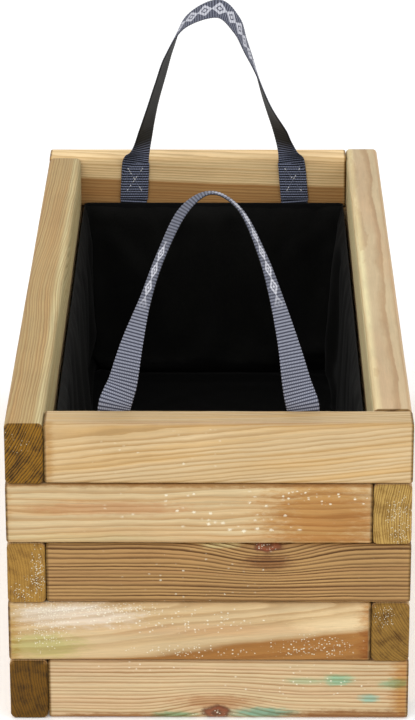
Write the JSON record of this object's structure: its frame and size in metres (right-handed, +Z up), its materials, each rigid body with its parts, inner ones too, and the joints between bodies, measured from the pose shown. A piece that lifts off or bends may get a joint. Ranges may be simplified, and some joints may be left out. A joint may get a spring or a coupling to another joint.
{
  "type": "timber planter trough with lift-out liner bag",
  "caption": "Open-topped rectangular timber trough of stacked battens interlocked at the corners, with a slatted floor and a lift-out fabric liner bag carried by webbing loop handles.",
  "frame": {"origin": "on the ground, under the middle of the trough", "axes": "+Z up; +Y along the trough from its front end to its rear end; +X to the right seen from the front end"},
  "size_m": [0.312, 0.7, 0.4108],
  "materials": {
    "board_wood": "sawn softwood with open grain, knots and a pale green-brown preservative tint",
    "floor_wood": "sawn softwood",
    "screw_steel": "yellow zinc-plated",
    "liner_fabric": "matt black nonwoven felt",
    "webbing": "ribbed grey polyester webbing with a pale woven band",
    "thread": "grey polyester thread"
  },
  "bodies": {
    "planter_box": {"bearer_screws": "screw_steel", "course_1_front_board": "board_wood", "course_1_left_board": "board_wood", "course_1_rear_board": "board_wood", "course_1_right_board": "board_wood", "course_1_tie_screws": "screw_steel", "course_2_front_board": "board_wood", "course_2_left_board": "board_wood", "course_2_rear_board": "board_wood", "course_2_right_board": "board_wood", "course_2_tie_screws": "screw_steel", "course_3_front_board": "board_wood", "course_3_left_board": "board_wood", "course_3_rear_board": "board_wood", "course_3_right_board": "board_wood", "course_3_tie_screws": "screw_steel", "course_4_front_board": "board_wood", "course_4_left_board": "board_wood", "course_4_rear_board": "board_wood", "course_4_right_board": "board_wood", "course_4_tie_screws": "screw_steel", "course_5_front_board": "board_wood", "course_5_left_board": "board_wood", "course_5_rear_board": "board_wood", "course_5_right_board": "board_wood", "floor_bearer_left": "floor_wood", "floor_bearer_right": "floor_wood", "floor_slat_1": "floor_wood", "floor_slat_2": "floor_wood", "floor_slat_3": "floor_wood", "floor_slat_4": "floor_wood", "floor_slat_5": "floor_wood", "floor_slat_6": "floor_wood", "floor_slat_7": "floor_wood", "floor_slat_8": "floor_wood", "slat_screws": "screw_steel"},
    "liner_bag": {"front_anchor_stitching": "thread", "front_fold_stitching": "thread", "front_handle_left_fold": "webbing", "front_handle_left_tail": "webbing", "front_handle_right_fold": "webbing", "front_handle_right_tail": "webbing", "liner_base_panel": "liner_fabric", "liner_front_panel": "liner_fabric", "liner_left_panel": "liner_fabric", "liner_rear_panel": "liner_fabric", "liner_right_panel": "liner_fabric", "liner_top_hem": "liner_fabric", "rear_anchor_stitching": "thread", "rear_fold_stitching": "thread", "rear_handle_left_fold": "webbing", "rear_handle_left_tail": "webbing", "rear_handle_right_fold": "webbing", "rear_handle_right_tail": "webbing"},
    "front_handle": {"front_handle_loop": "webbing"},
    "rear_handle": {"rear_handle_loop": "webbing"}
  },
  "joints": [
    {"name": "liner_lift", "type": "slide", "parent": "planter_box", "child": "liner_bag", "axis": [0, 0, 1], "range_m": [0, 0.3]},
    {"name": "front_handle_hinge", "type": "hinge", "parent": "liner_bag", "child": "front_handle", "pos_m": [0, -0.3189, 0.2515], "axis": [1, 0, 0], "range_deg": [-88, 88]},
    {"name": "rear_handle_hinge", "type": "hinge", "parent": "liner_bag", "child": "rear_handle", "pos_m": [0, 0.3189, 0.2515], "axis": [-1, 0, 0], "range_deg": [-96, 80]}
  ]
}
